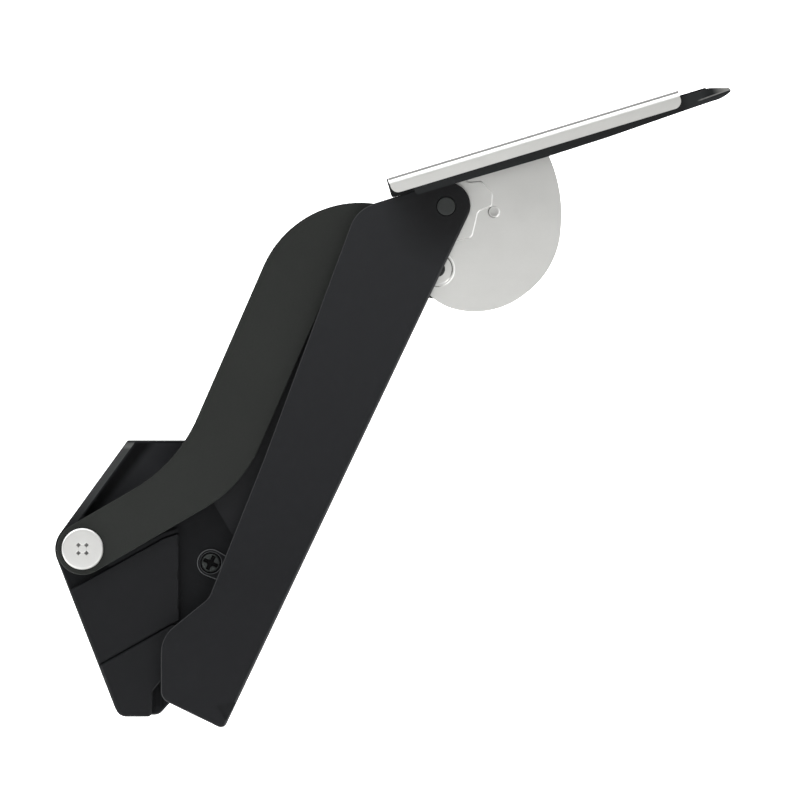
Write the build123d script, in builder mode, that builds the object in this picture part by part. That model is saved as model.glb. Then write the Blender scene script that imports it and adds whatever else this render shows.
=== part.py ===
from build123d import *
import math
import os

os.makedirs("parts", exist_ok=True)

# Lift-up flap fitting, drawn fully open. Sizes are millimetres.
# X runs to the cabinet front, Z is up, and the fitting grows along -Y from the side panel.
# The origin is on the panel's face, on the axis of the rear lever's pivot.
shaft_x, shaft_z = 67.5, 26.0
top_x, top_z = 136.4, 128.55
rail_tilt = 16.8
pack_tilt = 29.4
sheet = 2.0
rear_lever_thick = 3.0
crank_radius = 17.0
half_swing = 32.0
hub_radius = crank_radius + 3.2
running = 0.05

# Distances from the panel's face to each layer's back face.
plate_thick = 1.5
housing_face = 15.0
cover_face = 18.0
far_back = housing_face + 0.5
rear_back = cover_face + 0.6
ear_back = rear_back + rear_lever_thick + 0.5
near_back = ear_back + sheet + 0.6
rail_front = near_back + 19.3
near_front = near_back + sheet


def rounded_outline(corners):
    # Closed outline from corners given as x, height and corner radius.
    count = len(corners)
    starts = []
    mids = []
    ends = []
    for i in range(count):
        x, z, radius = corners[i]
        corner = Vector(x, z)
        before = (Vector(corners[i - 1][0], corners[i - 1][1]) - corner).normalized()
        after_x, after_z, _ = corners[(i + 1) % count]
        after = (Vector(after_x, after_z) - corner).normalized()
        if radius == 0:
            starts.append(corner)
            mids.append(None)
            ends.append(corner)
        else:
            half = math.acos(max(-1, min(1, before.dot(after)))) / 2
            reach = radius / math.tan(half)
            middle = (before + after).normalized()
            starts.append(corner + before * reach)
            mids.append(corner + middle * (radius / math.sin(half) - radius))
            ends.append(corner + after * reach)
    for i in range(count):
        Line(ends[i - 1], starts[i])
        if mids[i] is not None:
            ThreePointArc(starts[i], mids[i], ends[i])


def turned(x, z, tilt):
    # Turn a point about the plane's origin.
    c = math.cos(math.radians(tilt))
    s = math.sin(math.radians(tilt))
    return (c * x - s * z, s * x + c * z)


def heading(tilt):
    # Direction in the panel's plane, turned up from the front.
    x, z = turned(1, 0, tilt)
    return (x, 0, z)


def pack_plane(height):
    # Sketch plane whose x runs along the spring pack, from the lever shaft's axis.
    x, z = turned(1, 0, pack_tilt)
    return Plane(origin=(shaft_x, -height, shaft_z), x_dir=(x, 0, z), z_dir=(0, -1, 0))


def pack_rod(along, across, height):
    # Sketch plane across the spring pack, for round pieces that lie along it.
    ux, uz = turned(1, 0, pack_tilt)
    vx, vz = turned(0, 1, pack_tilt)
    x = shaft_x + along * ux + across * vx
    z = shaft_z + along * uz + across * vz
    return Plane(origin=(x, -height, z), x_dir=(0, -1, 0), z_dir=(ux, 0, uz))


def rail_plane(height):
    # Sketch plane of the flap bracket: x along the rail, from the upper pivot.
    x, z = turned(1, 0, rail_tilt)
    return Plane(origin=(top_x, -height, top_z), x_dir=(x, 0, z), z_dir=(0, -1, 0))


def rail_hole(along, height):
    # Plane on the flap's side of the rail, looking into the flap.
    x, z = turned(along, rail_top, rail_tilt)
    nx, nz = turned(0, 1, rail_tilt)
    ux, uz = turned(1, 0, rail_tilt)
    return Plane(origin=(top_x + x, -height, top_z + z), x_dir=(ux, 0, uz), z_dir=(-nx, 0, -nz))


# Rail sizes, measured square to the rail from the upper pivot.
rail_top = 16.4
rail_left = -17.9
rail_right = 95.8
flange_low = 10.1
link_u, link_n = -10.1, -21.55
link_x, link_z = turned(link_u, link_n, rail_tilt)
link_x = link_x + top_x
link_z = link_z + top_z

flap_screws = (12.0, 44.0, 76.0)
plate_screws = (0.0, 60.0)
screw_line = 31.6
flap_hole = 2.2
release_u, release_n = -5.4, 10.7
release_pin_radius = 1.3
pad_height = 0.25

# Pivot sizes.
rear_boss = 9.5
rear_pin = 4.0
rear_head = 7.8
shaft_radius = 5.0
shaft_bush_wall = 1.2
shaft_boss = 7.85
top_pin = 3.4
link_pin_radius = 3.0
roller_radius = 3.5
mount_x = 47.8
mount_low, mount_high = -37.2, 26.8
mount_hole = 2.3
black_x, black_z = 48.1, -5.2
black_turn = -26.5
boss_radius, boss_bore = 5.2, 4.0
boss_height, boss_edge = 1.4, 0.45
bush_back = 3.4
buffer_radius = 3.0
buffer_turn = -76.0

# The open stop's place on the housing.
buffer_step = turned(hub_radius + buffer_radius + 1.8, 0, buffer_turn)
buffer_at = (shaft_x + buffer_step[0], shaft_z + buffer_step[1])

# The crank pin's place in the open pose, and the slot that the link pin needs in the rear lever.
crank_step = turned(0, -crank_radius, half_swing + pack_tilt)
crank_at = (shaft_x + crank_step[0], shaft_z + crank_step[1])
slot_spots = [(0, 0), (2.0, 0.7), (2.45, 1.25), (1.6, 1.3)]

# Spring pack sizes, along and across the pack from the lever shaft.
spring_across = 9.9
pack_middle = -16.5
pack_height = 7.2
spring_outer = 4.2
spring_wire = 1.6
seat_left = -76.0
seat_thick = 4.0
push_left = -12.4
push_thick = 3.0
travel = 2 * crank_radius * math.sin(math.radians(half_swing))
damper_across = -35.5
damper_radius = 4.0
damper_left, damper_length = -78.0, 28.0
damper_wall = 0.9
damper_rod_radius = 1.1
damper_stroke_end = damper_left + damper_length - 4.5
pocket_right = crank_radius * math.sin(math.radians(half_swing)) + roller_radius + 1.2
pocket_step = -crank_radius * math.cos(math.radians(half_swing)) - 1.5
carriage_back = pack_height - 4.1
carriage_front = pack_height + 4.2
roller_back = pack_height - 2.6
roller_length = 7.2
crank_back = pack_height - 3.6
crank_shoulder = pack_height + 5.0

housing_corners = [
    (16.9, 40.8, 0.8),
    (-11.65, 1.5, 10.3),
    (-5.2, -15.1, 0),
    (5.9, -43.5, 0),
    (13.2, -62.2, 4.3),
    (28.7, -62.2, 3.8),
    (42.6, -47.0, 3.8),
    (63.6, -34.1, 7.5),
    (88.3, 18.4, 7.5),
    (94.7, 40.8, 1.5),
]

cover_rim = [
    (9.8, -6.9, 0),
    (30.5, 4.55, 9.3),
    (36.2, 6.5, 0),
    (35.8, 7.7, 0),
    (30.1, 5.8, 10.5),
    (9.2, -5.75, 0),
]

# Steel plate that lies on the side panel and closes the housing's back.
with BuildPart() as mounting_plate:
    with BuildSketch(Plane.XZ):
        with BuildLine():
            rounded_outline(housing_corners)
        make_face()
        offset(amount=-1.2, kind=Kind.INTERSECTION)
        with Locations((mount_x, mount_low), (mount_x, mount_high)):
            Circle(mount_hole, mode=Mode.SUBTRACT)
        with Locations((black_x, black_z)):
            Circle(1.95, mode=Mode.SUBTRACT)
    extrude(amount=plate_thick)
mounting_plate.part.label = "mounting_plate"

# Housing: tray at the upper left, floor under the levers, hollow behind for the springs.
with BuildPart() as housing:
    with BuildSketch(Plane.XZ.offset(plate_thick)):
        with BuildLine():
            rounded_outline(housing_corners)
        make_face()
    extrude(amount=housing_face - plate_thick)
    edge_loop = housing.faces().sort_by(Axis.Y)[0].edges()
    chamfer(edge_loop, length=0.5)
    with BuildSketch(Plane.XZ.offset(housing_face)):
        Circle(rear_boss)
    extrude(amount=3.1)
    with BuildSketch(Plane.XZ.offset(6.0)):
        with BuildLine():
            rounded_outline([
                (20.4, 39.7, 1.2),
                (62.6, 39.7, 4.0),
                (55.0, 26.0, 4.0),
                (45.0, 18.5, 4.0),
                (14.5, 10.8, 3.0),
                (-0.9, 10.8, 1.5),
            ])
        make_face()
    extrude(amount=12.0, mode=Mode.SUBTRACT)
    with BuildSketch(pack_plane(plate_thick)):
        with BuildLine():
            rounded_outline([
                (-81.5, -2.2, 1.0),
                (pocket_right, -2.2, 1.0),
                (pocket_right, pocket_step, 1.0),
                (-21.0, -40.3, 1.0),
                (-81.5, -40.3, 1.0),
            ])
        make_face()
    extrude(amount=11.5, mode=Mode.SUBTRACT)
    with BuildSketch(Plane.XZ.offset(plate_thick)):
        with Locations((shaft_x, shaft_z)):
            Circle(shaft_boss)
        with Locations((black_x, black_z)):
            Circle(2.7)
    extrude(amount=12.0)
    # Bore for the lever shaft's bush, and a recess at its back for the ring.
    with BuildSketch(Plane.XZ.offset(plate_thick)):
        with Locations((shaft_x, shaft_z)):
            Circle(shaft_radius + running + shaft_bush_wall)
    extrude(amount=housing_face, mode=Mode.SUBTRACT)
    with BuildSketch(Plane.XZ.offset(plate_thick)):
        with Locations((shaft_x, shaft_z)):
            Circle(shaft_radius + 1.6)
    extrude(amount=bush_back - plate_thick, mode=Mode.SUBTRACT)
    # Arc window that the crank pin swings through.
    with BuildSketch(pack_plane(12.0)):
        with BuildLine():
            start = half_swing + 2.5
            inner = crank_radius - 3.3
            outer = crank_radius + 3.3
            p1 = turned(0, -inner, start)
            p2 = turned(0, -inner, 0)
            p3 = turned(0, -inner, -start)
            p4 = turned(0, -outer, -start)
            p5 = turned(0, -outer, 0)
            p6 = turned(0, -outer, start)
            ThreePointArc(p1, p2, p3)
            Line(p3, p4)
            ThreePointArc(p4, p5, p6)
            Line(p6, p1)
        make_face()
        with Locations(turned(0, -crank_radius, start), turned(0, -crank_radius, -start)):
            Circle(3.3)
    extrude(amount=4.0, mode=Mode.SUBTRACT)
    # Slanting rim along the tray's outer edge.
    edge = (housing_corners[0][0] - housing_corners[1][0], housing_corners[0][1] - housing_corners[1][1])
    reach = math.hypot(edge[0], edge[1])
    along = (edge[0] / reach, 0, edge[1] / reach)
    start = (housing_corners[1][0], 0, housing_corners[1][1])
    with BuildSketch(Plane(origin=start, x_dir=(along[2], 0, -along[0]), z_dir=along).offset(-12.0)):
        with BuildLine():
            side = -1 if Plane(origin=start, x_dir=(along[2], 0, -along[0]), z_dir=along).y_dir.Y > 0 else 1
            Polyline(
                (-1.0, side * (housing_face - 2.1)),
                (-1.0, side * housing_face),
                (2.7, side * housing_face),
                close=True,
            )
        make_face()
    extrude(amount=reach + 20.0, mode=Mode.SUBTRACT)
    # Rim that the middle cover's top edge fits against.
    with BuildSketch(Plane.XZ.offset(housing_face)):
        with BuildLine():
            rounded_outline(cover_rim)
        make_face()
    extrude(amount=cover_face - 0.1 - housing_face)
    # Screw holes: two into the panel, one for the black screw, one for the rear pivot.
    with BuildSketch(Plane.XZ.offset(plate_thick)):
        with Locations((mount_x, mount_low), (mount_x, mount_high)):
            Circle(mount_hole)
        with Locations((black_x, black_z)):
            Circle(2.05)
    extrude(amount=housing_face, mode=Mode.SUBTRACT)
    with BuildSketch(Plane.XZ.offset(6.0)):
        with Locations((mount_x, mount_low)):
            Circle(4.4)
    extrude(amount=12.0, mode=Mode.SUBTRACT)
    with BuildSketch(Plane.XZ.offset(3.0)):
        Circle(3.0)
    extrude(amount=20.0, mode=Mode.SUBTRACT)
    with BuildSketch(Plane.XZ.offset(housing_face - 1.9)):
        with Locations(buffer_at):
            Circle(1.2)
    extrude(amount=2.0, mode=Mode.SUBTRACT)
    # Drop-shaped boss around the black screw.
    with BuildSketch(Plane.XZ.offset(housing_face)):
        with Locations((black_x, black_z)):
            Circle(boss_radius)
        with Locations((black_x + 10.9, black_z - 5.1)):
            Circle(4.2)
        make_hull()
    extrude(amount=boss_height - boss_edge)
    with BuildSketch(Plane.XZ.offset(housing_face + boss_height - boss_edge)):
        with Locations((black_x, black_z)):
            Circle(boss_radius)
        with Locations((black_x + 10.9, black_z - 5.1)):
            Circle(4.2)
        make_hull()
    extrude(amount=boss_edge, taper=40)
    with BuildSketch(Plane.XZ.offset(housing_face)):
        with Locations((black_x, black_z)):
            Circle(boss_bore)
    extrude(amount=3.0, mode=Mode.SUBTRACT)
    with BuildSketch(Plane.XZ.offset(housing_face + boss_height - boss_edge)):
        with Locations((black_x, black_z)):
            Circle(boss_bore)
    extrude(amount=boss_edge + 0.1, taper=-30, mode=Mode.SUBTRACT)
    # Bore for the tension screw's head in the lower left wall.
    with BuildSketch(pack_rod(-92.0, pack_middle, pack_height)):
        Circle(4.6)
    extrude(amount=9.0, mode=Mode.SUBTRACT)
    with BuildSketch(pack_rod(-92.0, pack_middle, pack_height)):
        Circle(3.0 + running)
    extrude(amount=14.0, mode=Mode.SUBTRACT)
    # Ribs in the step at the bottom right.
    for i in range(3):
        with BuildSketch(Plane.XZ.offset(housing_face - 0.9)):
            with Locations((27.3 + 1.4 * i, -54.5)):
                Rectangle(0.7, 9.0)
        extrude(amount=2.0, mode=Mode.SUBTRACT)
housing.part.label = "housing"

# Middle cover over the spring pack, bare where the photo shows a mark.
cover_back = housing_face + 0.05
cover_wall = 1.3
cover_corners = [
    (-4.9, -15.4, 0.6),
    (30.6, 4.2, 9.0),
    (36.2, 6.1, 0.8),
    (36.2, -26.55, 0.8),
    (6.2, -43.2, 0.6),
]
with BuildPart() as spring_cover:
    with BuildSketch(Plane.XZ.offset(cover_back)):
        with BuildLine():
            rounded_outline(cover_corners)
        make_face()
    extrude(amount=cover_face - cover_back)
    front_loop = spring_cover.faces().sort_by(Axis.Y)[0].edges()
    chamfer(front_loop, length=0.4)
    with BuildSketch(Plane.XZ.offset(cover_back)):
        with BuildLine():
            rounded_outline(cover_corners)
        make_face()
        offset(amount=-cover_wall, kind=Kind.INTERSECTION)
    extrude(amount=cover_face - cover_back - cover_wall, mode=Mode.SUBTRACT)
    # Small grip notches in the right edge.
    with BuildSketch(Plane.XZ.offset(cover_face - 1.6)):
        with Locations((36.2, 3.0), (36.2, -9.6), (36.2, -20.6)):
            Rectangle(1.2, 3.4)
    extrude(amount=1.7, mode=Mode.SUBTRACT)
spring_cover.part.label = "spring_cover"

# Lower cover, with a step at its right side.
lower_corners = [
    (6.6, -43.5, 0.6),
    (35.5, -27.45, 1.5),
    (35.0, -43.0, 3.0),
    (26.3, -53.2, 2.5),
    (25.9, -62.9, 1.5),
    (13.5, -62.9, 4.2),
]
with BuildPart() as lower_cover:
    with BuildSketch(Plane.XZ.offset(cover_back)):
        with BuildLine():
            rounded_outline(lower_corners)
        make_face()
    extrude(amount=cover_face - cover_back)
    front_loop = lower_cover.faces().sort_by(Axis.Y)[0].edges()
    chamfer(front_loop, length=0.5)
    with BuildSketch(Plane.XZ.offset(cover_back)):
        with BuildLine():
            rounded_outline(lower_corners)
        make_face()
        offset(amount=-cover_wall, kind=Kind.INTERSECTION)
    extrude(amount=cover_face - cover_back - cover_wall, mode=Mode.SUBTRACT)
lower_cover.part.label = "lower_cover"

# Black cross-recess screw that holds the housing to its plate.
with BuildPart() as housing_screw:
    with BuildSketch(Plane.XZ.offset(0.2)):
        with Locations((black_x, black_z)):
            Circle(1.95)
    extrude(amount=housing_face - 0.1)
    with BuildSketch(Plane.XZ.offset(housing_face + 0.05)):
        with Locations((black_x, black_z)):
            Circle(3.5)
    extrude(amount=1.7)
    top_loop = housing_screw.faces().sort_by(Axis.Y)[0].edges()
    fillet(top_loop, radius=0.5)
    with BuildSketch(Plane.XZ.offset(housing_face + 0.65)):
        with Locations((black_x, black_z)):
            Rectangle(5.6, 1.1, rotation=black_turn)
            Rectangle(1.1, 5.6, rotation=black_turn)
            Circle(1.3)
    extrude(amount=2.0, mode=Mode.SUBTRACT)
housing_screw.part.label = "housing_screw"

# Bright screw on which the rear lever turns.
rear_front = rear_back + rear_lever_thick
head_back = rear_front + 0.3
head_thick = 1.8
with BuildPart() as pivot_screw:
    with BuildSketch(Plane.XZ.offset(3.5)):
        Circle(3.0)
    extrude(amount=14.6)
    with BuildSketch(Plane.XZ.offset(18.1)):
        Circle(rear_pin)
    extrude(amount=head_back - 18.1)
    with BuildSketch(Plane.XZ.offset(head_back)):
        Circle(rear_head)
    extrude(amount=head_thick)
    top_loop = pivot_screw.faces().sort_by(Axis.Y)[0].edges()
    chamfer(top_loop, length=0.5)
    with BuildSketch(Plane.XZ.offset(head_back + 0.6)):
        for i in range(4):
            with Locations(turned(2.0, 0, 45 + 90 * i)):
                Rectangle(1.3, 1.2, rotation=45 + 90 * i)
        Circle(0.7)
        Rectangle(3.6, 0.5, rotation=45)
        Rectangle(0.5, 3.6, rotation=45)
    extrude(amount=2.0, mode=Mode.SUBTRACT)
pivot_screw.part.label = "pivot_screw"

# Bush pressed into the housing, in which the front lever's shaft turns.
bush_radius = shaft_radius + running + shaft_bush_wall
with BuildPart() as shaft_bush:
    with BuildSketch(Plane.XZ.offset(bush_back)):
        with Locations((shaft_x, shaft_z)):
            Circle(bush_radius)
            Circle(shaft_radius + running, mode=Mode.SUBTRACT)
    extrude(amount=housing_face - bush_back)
shaft_bush.part.label = "shaft_bush"

# Rubber stop that the front lever's lug rests on when the flap is open.
with BuildPart() as stop_buffer:
    with BuildSketch(Plane.XZ.offset(housing_face)):
        with Locations(buffer_at):
            Circle(buffer_radius)
    extrude(amount=2.8)
    top_loop = stop_buffer.faces().sort_by(Axis.Y)[0].edges()
    fillet(top_loop, radius=0.6)
    with BuildSketch(Plane.XZ.offset(housing_face - 1.8)):
        with Locations(buffer_at):
            Circle(1.2)
    extrude(amount=1.8)
stop_buffer.part.label = "stop_buffer"

# Front lever: near flange, far flange and the web that joins them, folded from one sheet.
near_corners = [
    (153.2, 143.1, 8.8),
    (53.0, -67.7, 2.4),
    (29.4, -56.2, 4.6),
    (29.4, -33.0, 12.4),
    (47.4, -18.4, 8.0),
    (68.1, 33.8, 22.5),
    (102.2, 125.8, 12.8),
    (108.3, 129.3, 22.5),
]
far_corners = [
    (153.2, 143.1, 8.8),
    (103.8, 39.2, 20.0),
    (88.5, 25.5, 6.0),
    (83.0, 12.5, 14.0),
    (56.4, 4.9, 1.5),
    (49.3, 16.9, 1.5),
    (77.8, 82.1, 20.0),
    (106.0, 127.6, 12.0),
]
lug_left, lug_right = -101.0, -84.2
lug_root = hub_radius - 4.2
lug_reach = hub_radius + 7.8
web_top, web_low = 47.0, 88.0
edge_x, edge_z = 144.74, 125.3
edge_tilt = 64.57
fold_radius = 1.2
with BuildPart() as front_lever:
    with BuildSketch(Plane.XZ.offset(near_back)):
        with BuildLine():
            rounded_outline(near_corners)
        make_face()
    extrude(amount=sheet)
    front_loop = front_lever.faces().sort_by(Axis.Y)[0].edges()
    chamfer(front_loop, length=0.35)
    with BuildSketch(Plane.XZ.offset(far_back)):
        with BuildLine():
            rounded_outline(far_corners)
        make_face()
        with Locations((shaft_x, shaft_z)):
            Circle(hub_radius)
    extrude(amount=sheet)
    # Lug on the hub, for the open stop.
    with BuildSketch(Plane.XZ.offset(far_back)):
        with BuildLine():
            q1 = turned(lug_root, 0, lug_left)
            q2 = turned(lug_reach, 0, lug_left)
            q3 = turned(lug_reach, 0, lug_right)
            q4 = turned(lug_root, 0, lug_right)
            Polyline(
                (shaft_x + q1[0], shaft_z + q1[1]),
                (shaft_x + q2[0], shaft_z + q2[1]),
                (shaft_x + q3[0], shaft_z + q3[1]),
                (shaft_x + q4[0], shaft_z + q4[1]),
                close=True,
            )
        make_face()
    extrude(amount=sheet)
    # Web along the right edge, between the disc's sweep and the rear lever's sweep.
    with BuildSketch(Plane(origin=(edge_x, -far_back, edge_z), x_dir=heading(180 + edge_tilt), z_dir=(0, -1, 0))):
        with Locations(((web_top + web_low) / 2, -sheet / 2 - 0.35)):
            Rectangle(web_low - web_top, sheet)
    extrude(amount=near_back - far_back + sheet / 2)
    # Rounded fold along the right edge.
    with BuildSketch(
        Plane(
            origin=(edge_x, 0, edge_z),
            x_dir=heading(edge_tilt - 90),
            z_dir=heading(edge_tilt + 180),
        ).offset(-20.0)
    ):
        with BuildLine():
            fold_mid = fold_radius * math.sqrt(0.5) - fold_radius
            side = near_front - fold_radius
            ThreePointArc((0, side), (fold_mid, near_front + fold_mid), (-fold_radius, near_front))
            Line((-fold_radius, near_front), (-fold_radius, near_front + 1.0))
            Line((-fold_radius, near_front + 1.0), (1.0, near_front + 1.0))
            Line((1.0, near_front + 1.0), (1.0, side))
            Line((1.0, side), (0, side))
        make_face()
    extrude(amount=240.0, mode=Mode.SUBTRACT)
    # Relief at the lower right corner, where the folded edge ends.
    with BuildSketch(Plane.XZ.offset(near_front - 1.0)):
        with BuildLine():
            Polyline((50.4, -58.9), (57.6, -57.4), (53.9, -64.2), close=True)
        make_face()
    extrude(amount=2.0, mode=Mode.SUBTRACT)
    with BuildSketch(Plane.XZ.offset(far_back - 1.0)):
        with Locations((top_x, top_z)):
            Circle(top_pin)
        with Locations((shaft_x, shaft_z)):
            Circle(shaft_radius)
        with Locations(crank_at):
            Circle(2.4)
    extrude(amount=sheet + 2.0, mode=Mode.SUBTRACT)
    with BuildSketch(Plane.XZ.offset(near_back - 1.0)):
        with Locations((top_x, top_z)):
            Circle(top_pin)
    extrude(amount=sheet + 2.0, mode=Mode.SUBTRACT)
    with BuildSketch(Plane.XZ.offset(near_front - 0.4)):
        with Locations((top_x, top_z)):
            Circle(top_pin)
    extrude(amount=0.5, taper=-45, mode=Mode.SUBTRACT)
front_lever.part.label = "front_lever"

# Shaft fixed in the far flange, flush with it, and held behind by a ring.
shaft_back = plate_thick + 0.4
ring_back = shaft_back + 0.3
ring_thick = 0.8
with BuildPart() as lever_shaft:
    with BuildSketch(Plane.XZ.offset(shaft_back)):
        with Locations((shaft_x, shaft_z)):
            Circle(shaft_radius)
    extrude(amount=far_back + sheet - shaft_back)
    with BuildSketch(Plane.XZ.offset(ring_back)):
        with Locations((shaft_x, shaft_z)):
            Circle(shaft_radius + 1.0)
            Circle(shaft_radius - 0.7, mode=Mode.SUBTRACT)
    extrude(amount=ring_thick, mode=Mode.SUBTRACT)
lever_shaft.part.label = "lever_shaft"

with BuildPart() as shaft_ring:
    with BuildSketch(Plane.XZ.offset(ring_back)):
        with Locations((shaft_x, shaft_z)):
            Circle(shaft_radius + 1.1)
            Circle(shaft_radius - 0.7, mode=Mode.SUBTRACT)
            with Locations((shaft_radius, 0)):
                Rectangle(4.0, 2.2, mode=Mode.SUBTRACT)
    extrude(amount=ring_thick)
shaft_ring.part.label = "shaft_ring"

# Crank pin in the far flange, with the roller that pushes the spring carriage.
with BuildPart() as crank_pin:
    with BuildSketch(Plane.XZ.offset(crank_back)):
        with Locations(crank_at):
            Circle(2.6)
    extrude(amount=0.6)
    with BuildSketch(Plane.XZ.offset(crank_back + 0.4)):
        with Locations(crank_at):
            Circle(1.75)
    extrude(amount=far_back + sheet - crank_back - 0.4)
    with BuildSketch(Plane.XZ.offset(crank_shoulder)):
        with Locations(crank_at):
            Circle(2.4)
    extrude(amount=far_back + sheet - crank_shoulder)
crank_pin.part.label = "crank_pin"

with BuildPart() as crank_roller:
    with BuildSketch(Plane.XZ.offset(roller_back)):
        with Locations(crank_at):
            Circle(roller_radius)
            Circle(1.75 + running, mode=Mode.SUBTRACT)
    extrude(amount=roller_length)
    chamfer(crank_roller.edges().filter_by(GeomType.CIRCLE).sort_by(SortBy.RADIUS)[-2:], length=0.4)
crank_roller.part.label = "crank_roller"

# Upper pivot pin, flush in the near flange, with a sleeve between disc and far flange.
with BuildPart() as top_rivet:
    with BuildSketch(Plane.XZ.offset(far_back)):
        with Locations((top_x, top_z)):
            Circle(top_pin)
    extrude(amount=near_front + 0.2 - far_back)
    top_loop = top_rivet.faces().sort_by(Axis.Y)[0].edges()
    chamfer(top_loop, length=0.2)
top_rivet.part.label = "top_rivet"

with BuildPart() as rivet_sleeve:
    with BuildSketch(Plane.XZ.offset(far_back + sheet)):
        with Locations((top_x, top_z)):
            Circle(top_pin + 1.6)
            Circle(top_pin, mode=Mode.SUBTRACT)
    extrude(amount=ear_back - 0.35 - far_back - sheet)
rivet_sleeve.part.label = "rivet_sleeve"

# Rear lever: a flat swan-neck plate, with a short slot at the disc's pin.
rear_corners = [
    (139.3, 114.3, 0),
    (128.3, 94.7, 0),
    (97.3, 108.7, 15.0),
    (60.0, 23.5, 48.8),
    (5.0, -8.4, 0),
    (-4.9, 8.5, 0),
    (35.5, 32.1, 57.0),
    (82.5, 139.7, 39.6),
    (128.2, 123.9, 0),
]
rear_end = 11.25
rear_round = 9.75
rear_bush_wall = 1.5
with BuildPart() as rear_lever:
    with BuildSketch(Plane.XZ.offset(rear_back)):
        with BuildLine():
            rounded_outline(rear_corners)
        make_face()
        Circle(rear_round)
        with Locations((link_x, link_z)):
            Circle(rear_end)
    extrude(amount=rear_lever_thick)
    edge_loop = rear_lever.faces().sort_by(Axis.Y)[0].edges()
    chamfer(edge_loop, length=0.3)
    with BuildSketch(Plane.XZ.offset(rear_back - 1.0)):
        Circle(rear_pin + running + rear_bush_wall)
        with BuildSketch(mode=Mode.ADD):
            for spot in slot_spots:
                with Locations((link_x + spot[0], link_z + spot[1])):
                    Circle(link_pin_radius + 0.4)
            make_hull()
    extrude(amount=rear_lever_thick + 2.0, mode=Mode.SUBTRACT)
rear_lever.part.label = "rear_lever"

with BuildPart() as rear_bush:
    with BuildSketch(Plane.XZ.offset(rear_back)):
        Circle(rear_pin + running + rear_bush_wall)
        Circle(rear_pin + running, mode=Mode.SUBTRACT)
    extrude(amount=rear_lever_thick)
rear_bush.part.label = "rear_bush"

# Carriage that the springs push against the crank roller.
push_face = crank_radius * math.sin(math.radians(half_swing)) - roller_radius - 0.5
with BuildPart() as carriage:
    with BuildSketch(pack_plane(carriage_back)):
        with Locations((push_left + push_thick / 2, pack_middle)):
            Rectangle(push_thick, 28.2)
        with Locations((push_left, -17.5)):
            Rectangle(2.4, 7.4, mode=Mode.SUBTRACT)
        with BuildLine():
            rounded_outline([
                (push_left + 1.4, -9.4, 0),
                (push_face, -9.4, 1.0),
                (push_face, -20.0, 1.0),
                (push_left + 1.4, -25.0, 0),
            ])
        make_face()
        with Locations((-20.9, -31.9)):
            Rectangle(14.2, 1.6)
        with Locations((-26.5, -35.6)):
            Rectangle(3.0, 8.0)
    extrude(amount=carriage_front - carriage_back)
    with BuildSketch(pack_plane(carriage_back)):
        with BuildLine():
            Polyline(
                (push_left, -30.6),
                (push_left + push_thick, -30.6),
                (-13.8, -32.7),
                (-19.0, -32.7),
                (-19.0, -31.1),
                (-14.0, -31.1),
                close=True,
            )
        make_face()
    extrude(amount=carriage_front - carriage_back)
    # Holes for the guide rods and the damper's rod.
    for across in (pack_middle + spring_across, pack_middle - spring_across):
        with BuildSketch(pack_rod(push_left - 1.0, across, pack_height)):
            Circle(1.5)
        extrude(amount=6.0, mode=Mode.SUBTRACT)
    with BuildSketch(pack_rod(-29.0, damper_across, pack_height)):
        Circle(damper_rod_radius)
    extrude(amount=5.0, mode=Mode.SUBTRACT)
carriage.part.label = "carriage"

with BuildPart() as spring_guides:
    for across in (pack_middle + spring_across, pack_middle - spring_across):
        with BuildSketch(pack_rod(push_left - 22.0, across, pack_height)):
            Circle(1.9)
        extrude(amount=22.0)
        with BuildSketch(pack_rod(push_left, across, pack_height)):
            Circle(1.5)
        extrude(amount=2.6)
spring_guides.part.label = "spring_guides"

# Two compression springs between the carriage and the adjustable seat.
spring_start = seat_left + seat_thick + spring_wire / 2 + 0.35
spring_length = push_left - spring_wire / 2 - 0.35 - spring_start
coil_radius = spring_outer - spring_wire / 2
coils = 17
with BuildPart() as springs:
    for across in (pack_middle + spring_across, pack_middle - spring_across):
        coil_plane = pack_rod(spring_start, across, pack_height)
        with BuildLine() as coil_path:
            Helix(
                pitch=spring_length / coils,
                height=spring_length,
                radius=coil_radius,
                center=coil_plane.origin,
                direction=coil_plane.z_dir,
            )
        with BuildSketch(Plane(origin=coil_path.line @ 0, z_dir=coil_path.line % 0)):
            Circle(spring_wire / 2)
        sweep(path=coil_path.line, is_frenet=True)
springs.part.label = "springs"

# Adjustable seat that the tension screw moves along the pack.
with BuildPart() as spring_seat:
    with BuildSketch(pack_plane(carriage_back)):
        with Locations((seat_left + seat_thick / 2, pack_middle)):
            Rectangle(seat_thick, 27.6)
    extrude(amount=carriage_front - carriage_back)
    for across in (pack_middle + spring_across, pack_middle - spring_across):
        with BuildSketch(pack_rod(seat_left + seat_thick - 0.5, across, pack_height)):
            Circle(1.9)
        extrude(amount=5.0)
    with BuildSketch(pack_rod(seat_left - 1.0, pack_middle, pack_height)):
        Circle(2.5 + running)
    extrude(amount=6.0, mode=Mode.SUBTRACT)
spring_seat.part.label = "spring_seat"

# Tension screw, reached from the housing's lower left side.
with BuildPart() as tension_screw:
    with BuildSketch(pack_rod(-85.4, pack_middle, pack_height)):
        Circle(3.0)
    extrude(amount=5.7)
    with BuildSketch(pack_rod(-81.1, pack_middle, pack_height)):
        Circle(4.0)
    extrude(amount=1.4)
    with BuildSketch(pack_rod(-79.7, pack_middle, pack_height)):
        Circle(2.5)
    extrude(amount=20.0)
    with BuildSketch(pack_rod(-85.4, pack_middle, pack_height)):
        RegularPolygon(radius=2.3, side_count=6)
    extrude(amount=2.4, mode=Mode.SUBTRACT)
tension_screw.part.label = "tension_screw"

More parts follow.
